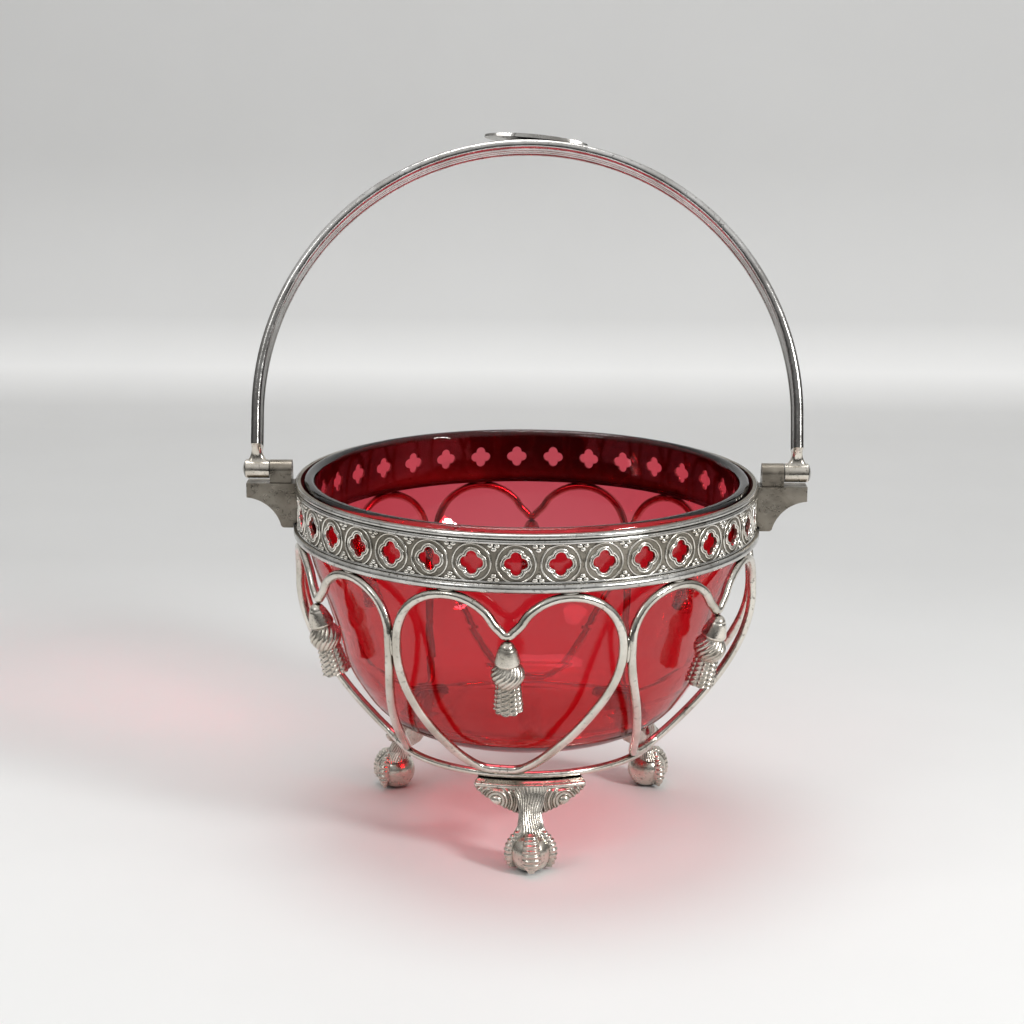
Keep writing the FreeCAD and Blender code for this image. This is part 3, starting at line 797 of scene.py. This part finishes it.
def make_shaft(top):
    """The leg between the lip and the claw, drawn in at the ankle and cut with strands of hair."""
    share = np.linspace(0, 1, shaft_rows)
    half_width = leg_half_width * np.interp(share, leg_height_shares, leg_width_shares)
    half_depth = leg_half_depth * np.interp(share, leg_height_shares, leg_depth_shares)
    smooth = share * share * (3 - 2 * share)
    low_middle = leg_low_inset - foot_radius
    top_middle = leg_top_inset - lip_radius
    middle = low_middle * (1 - smooth) + top_middle * smooth
    angle = np.arange(foot_columns) / foot_columns * TURN
    up, around = np.meshgrid(share, angle, indexing="ij")
    wave = shaft_wave * np.sin(up * shaft_wave_rise + shaft_wave_round * np.sin(around))
    hair = np.abs(np.sin(shaft_hair_count / 2 * (around + wave)))
    depth = shaft_hair_depth * (1 - hair ** shaft_hair_power)
    power = 2 / np.interp(share, leg_height_shares, leg_round_shares)[:, None]
    front = np.sign(np.sin(around)) * (1 - np.abs(np.cos(around)) ** power) ** (1 / power)
    x = (half_width[:, None] - depth) * np.cos(around)
    y = middle[:, None] + (half_depth[:, None] - depth) * front
    z = leg_low + (top - leg_low) * up
    return grid(np.stack([x, y, z], 2))


def round_lip(points):
    """Points of a flat panel, across, up and outward, laid round the curve of the lip."""
    turn = points[:, 0] / lip_radius
    radius = lip_radius + points[:, 2]
    return np.stack([radius * np.sin(turn), -radius * np.cos(turn), points[:, 1]], 1)


def make_capital(top):
    """The capital under the lip: a curved plate with raised arches over an eye at each end."""
    down = np.linspace(capital_start, 1, capital_rows)
    across = np.linspace(-1, 1, capital_columns)
    half = capital_width / 2 * np.interp(down, capital_height_shares, capital_width_shares)
    x = half[:, None] * across
    z = top - capital_height * down[:, None] + 0 * x
    away = np.hypot(np.abs(x) - scroll_place, z - top + scroll_drop)
    wave = 0.5 + 0.5 * np.cos((away - scroll_start) / scroll_pitch * TURN - math.pi)
    lines = scroll_line_height * wave * (away > scroll_start) * (away < scroll_reach)
    eye = scroll_eye_height * np.sqrt(np.clip(1 - (away / scroll_eye_radius) ** 2, 0, 1))
    edge = np.sqrt(np.clip((1 - np.abs(across)) * half[:, None] / capital_edge, 0, 1))
    tuck = np.clip((down[:, None] - capital_start) / capital_tuck, 0, 1)
    front = (capital_stand + np.maximum(lines, eye)) * edge * tuck - capital_tuck_depth * (2 - edge - tuck)
    rows = np.concatenate([
        np.stack([x, z, front], 2),
        np.stack([x, z, 0 * x - capital_depth], 2)[:, ::-1],
    ], 1)
    points, faces = grid(rows)
    return round_lip(points), faces


def make_lip(top):
    """The lip under the base ring: a hollow below the ring, a rolled edge and rounded ends."""
    bottom = top - lip_height
    deep = lip_inner_radius - lip_radius
    middle = (top + bottom) / 2
    profile = [(deep, bottom), (deep, top), (deep + lip_flat, top)]
    profile += [(out * MM, top + up * MM) for out, up in lip_hollow]
    profile += [(out * MM, bottom + up * MM) for out, up in lip_underside]
    profile.append((deep, bottom))
    rows = []
    for share in np.linspace(-1, 1, lip_steps):
        beyond = max((abs(share) - lip_end_start) / (1 - lip_end_start), 0)
        shrink = math.sqrt(max(1 - beyond ** 2, lip_end_least))
        row = []
        for out, z in profile:
            up = middle + (z - middle) * shrink
            row.append((share * lip_width / 2, up, deep / 2 + (out - deep / 2) * shrink))
        rows.append(row)
    points, faces = grid(np.array(rows))
    return round_lip(points), faces


def make_foot():
    """One claw and ball foot at the front."""
    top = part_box("foot_1")[1].z
    return joined([make_claw_ball(), make_shaft(top - leg_overlap), make_lip(top), make_capital(top)])


foot_surface = make_foot()
for index in range(foot_count):
    number = str(index + 1)
    surface = turned(foot_surface, foot_turn + 360 / foot_count * index)
    replaced = ["foot_" + number]
    piece("foot_detail_" + number, surface, "basket", cast_silver, replaced)


def strap_section(width):
    """The outline across the strap, across and outward: two round edges and two reeded faces."""
    edge = handle_edge / 2
    centre = width / 2 - edge
    side = []
    reach = math.pi / 2 + handle_edge_wrap
    for turn in np.linspace(-reach, reach, handle_edge_steps):
        side.append((centre + edge * math.cos(turn), edge * math.sin(turn)))
    inner = side[-1][0]
    for share in np.linspace(1, -1, handle_face_steps)[1:-1]:
        reed = abs(math.cos(handle_reed_count * math.pi / 2 * share))
        side.append((inner * share, handle_web / 2 + handle_reed_rise * math.sqrt(reed)))
    return side + [(-across, -out) for across, out in side]


def make_handle():
    """The strap of the handle, reeded on both faces between two rounded edges."""
    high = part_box("handle_bow")[1]
    hinge = Vector((0, 0, band_high.z + hinge_rise))
    middle_radius = high.x - handle_edge / 2
    arch_z = hinge.z + handle_leg
    leg = [share / handle_leg_steps for share in range(handle_leg_steps)]
    stations = []
    for share in leg:
        z = hinge.z + handle_neck + (handle_leg - handle_neck) * share
        stations.append(((middle_radius, 0, z), (1, 0, 0), handle_width_low))
    for turn in np.linspace(0, math.pi, handle_arch_steps + 1):
        out = (math.cos(turn), 0, math.sin(turn))
        spot = (middle_radius * out[0], 0, arch_z + middle_radius * out[2])
        width = handle_width_low + (handle_width_top - handle_width_low) * out[2]
        stations.append((spot, out, width))
    for share in reversed(leg):
        z = hinge.z + handle_neck + (handle_leg - handle_neck) * share
        stations.append(((-middle_radius, 0, z), (-1, 0, 0), handle_width_low))
    rows = []
    for spot, out, width in stations:
        row = []
        for across, rise in strap_section(width):
            row.append(np.array(spot) + np.array(out) * rise + np.array((0, across, 0)))
        rows.append(row)
    points, faces = grid(np.array(rows))
    return lean_back(points, hinge), faces


def lean_back(points, hinge):
    """Points of the upright handle, leaned back about the hinge."""
    lean = np.array(Matrix.Rotation(math.radians(-handle_lean), 3, "X"))
    return (points - np.array(hinge)) @ lean.T + np.array(hinge)


piece("handle_strap", make_handle(), "handle", strap_silver, ["handle_bow"])


def make_studio():
    """A pale floor that bends up into a backdrop."""
    profile = [(floor_front, 0.0), (wall_place - wall_bend, 0.0)]
    for turn in np.linspace(0, math.pi / 2, wall_bend_steps)[1:]:
        y = wall_place - wall_bend + wall_bend * math.sin(turn)
        profile.append((y, wall_bend * (1 - math.cos(turn))))
    profile.append((wall_place, wall_height))
    rows = [[(side * floor_half_width, y, z) for side in (-1, 1)] for y, z in profile]
    points, faces = grid(np.array(rows, float), wrap_columns=False)
    mesh = bpy.data.meshes.new("studio")
    mesh.from_pydata(points.tolist(), [], faces.tolist())
    mesh.shade_smooth()
    # The paper's material holds painted shade and a painted light strip
    mesh.materials.append(paper("studio_paper_painted_light", paper_colour))
    studio = bpy.data.objects.new("studio", mesh)
    bpy.context.scene.collection.objects.link(studio)


def add_lamp(name, place, target, size, power):
    """A soft round lamp that faces a target."""
    lamp = bpy.data.lights.new(name, "AREA")
    lamp.shape = "DISK"
    lamp.size = size
    lamp.energy = power
    made = bpy.data.objects.new(name, lamp)
    made.location = place
    made.rotation_euler = (Vector(target) - Vector(place)).to_track_quat("-Z", "Y").to_euler()
    bpy.context.scene.collection.objects.link(made)


def add_world():
    """A plain sky, darker towards the horizon, so that the metal has something to mirror."""
    world = bpy.data.worlds.new("studio_world")
    world.use_nodes = True
    tree = world.node_tree
    back = tree.nodes["Background"]
    place = tree.nodes.new("ShaderNodeTexCoord")
    split = tree.nodes.new("ShaderNodeSeparateXYZ")
    tree.links.new(place.outputs["Generated"], split.inputs["Vector"])
    spread = tree.nodes.new("ShaderNodeMapRange")
    spread.inputs["From Min"].default_value = sky_height[0]
    spread.inputs["From Max"].default_value = sky_height[1]
    spread.inputs["To Min"].default_value = sky_share[0]
    spread.inputs["To Max"].default_value = sky_share[1]
    tree.links.new(split.outputs["Z"], spread.inputs["Value"])
    tree.links.new(spread.outputs["Result"], back.inputs["Color"])
    back.inputs["Strength"].default_value = sky_strength
    bpy.context.scene.world = world


def add_camera():
    """The photograph's camera."""
    data = bpy.data.cameras.new("camera")
    data.lens = camera_lens
    data.sensor_width = camera_sensor
    camera = bpy.data.objects.new("camera", data)
    yaw = Matrix.Rotation(math.radians(camera_yaw), 4, "Z")
    pitch = Matrix.Rotation(math.radians(90 - camera_pitch), 4, "X")
    roll = Matrix.Rotation(math.radians(camera_roll), 4, "Z")
    camera.matrix_world = Matrix.Translation(camera_place) @ (yaw @ pitch @ roll)
    bpy.context.scene.collection.objects.link(camera)
    bpy.context.scene.camera = camera


make_studio()
add_world()
for lamp in lamps:
    add_lamp(*lamp)
add_camera()
bpy.context.scene.view_settings.view_transform = "Standard"
